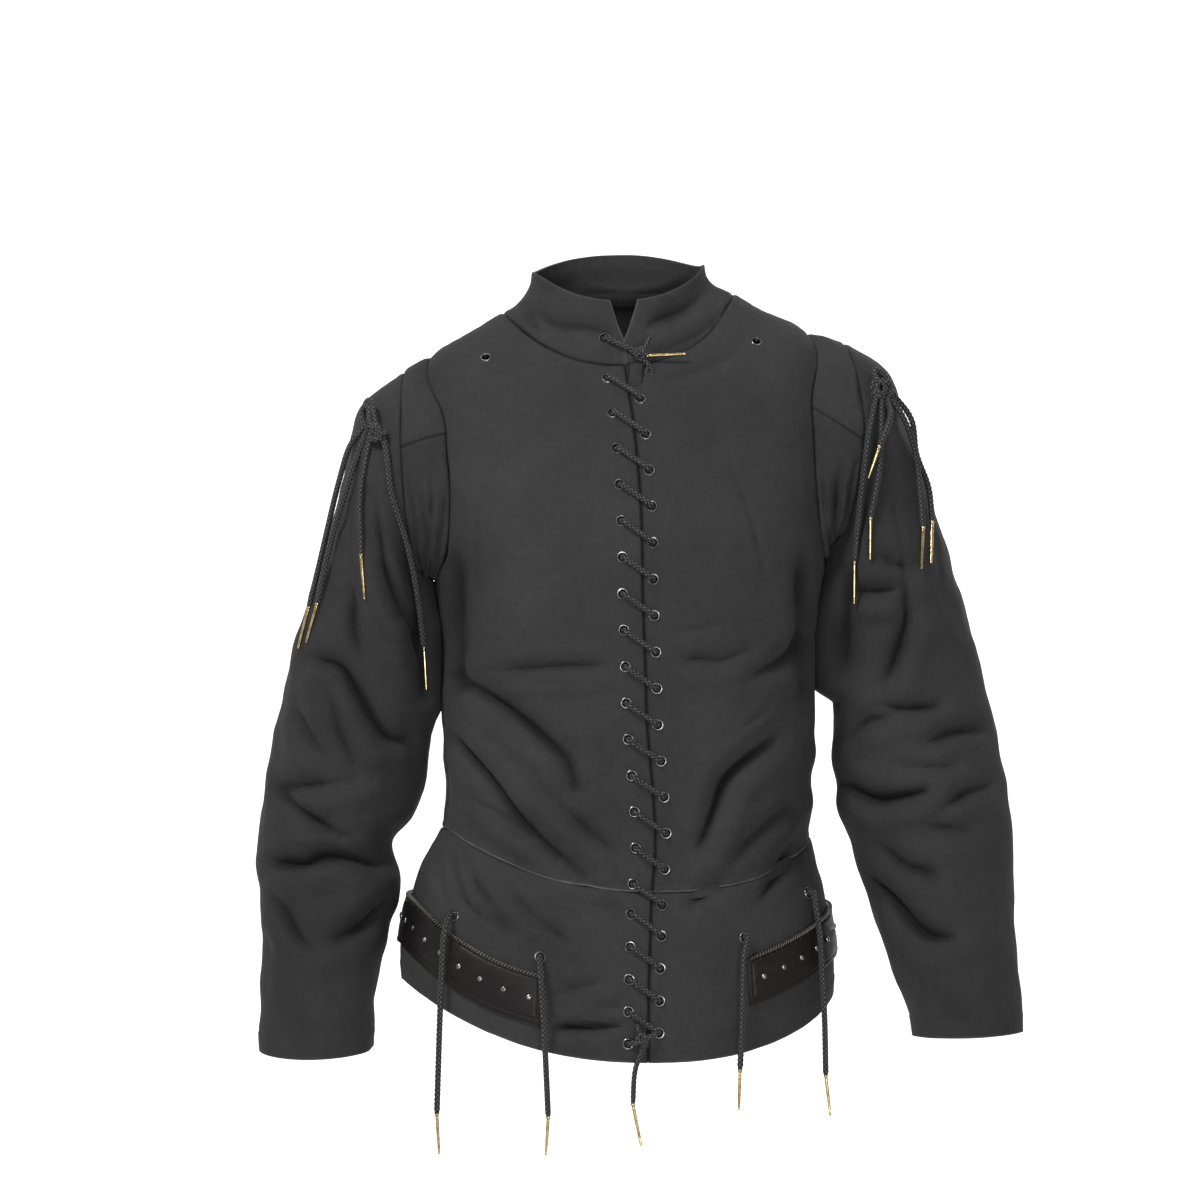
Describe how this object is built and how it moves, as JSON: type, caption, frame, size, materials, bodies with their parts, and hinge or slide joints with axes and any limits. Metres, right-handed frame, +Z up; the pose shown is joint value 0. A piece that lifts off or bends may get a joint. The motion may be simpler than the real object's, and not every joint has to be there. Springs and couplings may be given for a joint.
{
  "type": "arming doublet",
  "caption": "Worn canvas arming doublet with stand collar, laced front, capped sleeves open under the arm, tied points with metal tips and a studded leather band on its skirt.",
  "frame": {"origin": "base of the neck at the middle of the body, where the wearer's shoulders and neck carry the garment", "axes": "+Z up, -Y out of the laced front, +X to the wearer's left"},
  "size_m": [0.6702, 0.2911, 0.7799],
  "materials": {
    "canvas": "plain-woven cotton canvas in faded black, matt, with soft creases",
    "leather": "oiled dark leather, slightly glossy, with waxed whip stitching",
    "cord": "tight round braided black cord",
    "brass": "polished tapered lace tips",
    "steel": "domed studs, worn bright"
  },
  "bodies": {
    "root": {"bodice_front_right": "canvas", "bodice_front_left": "canvas", "bodice_back": "canvas", "skirt_front_right": "canvas", "skirt_front_left": "canvas", "skirt_back": "canvas", "collar": "canvas", "sleeve_right": "canvas", "shoulder_cap_right": "canvas", "gusset_front_right": "canvas", "gusset_back_right": "canvas", "sleeve_left": "canvas", "shoulder_cap_left": "canvas", "gusset_front_left": "canvas", "gusset_back_left": "canvas", "leather_band": "leather", "cord_arm_right_1": "cord", "cord_arm_right_2": "cord", "cord_arm_right_3": "cord", "cord_arm_right_4": "cord", "cord_arm_left_1": "cord", "cord_arm_left_2": "cord", "cord_arm_left_3": "cord", "cord_arm_left_4": "cord", "cord_arm_left_5": "cord", "cord_hip_right_outer": "cord", "cord_hip_right_inner": "cord", "cord_hip_left_inner": "cord", "cord_hip_left_outer": "cord", "cord_lace_tail": "cord", "arm_tie_right": "cord", "arm_tie_left": "cord", "lace_knot_top": "cord", "lace_knot_bottom": "cord", "front_lace": "cord", "aglet_arm_right_1": "brass", "aglet_arm_right_2": "brass", "aglet_arm_right_3": "brass", "aglet_arm_right_4": "brass", "aglet_arm_left_1": "brass", "aglet_arm_left_2": "brass", "aglet_arm_left_3": "brass", "aglet_arm_left_4": "brass", "aglet_arm_left_5": "brass", "aglet_hip_right_outer": "brass", "aglet_hip_right_inner": "brass", "aglet_hip_left_inner": "brass", "aglet_hip_left_outer": "brass", "aglet_lace_tail": "brass", "aglet_lace_top": "brass"}
  },
  "joints": []
}
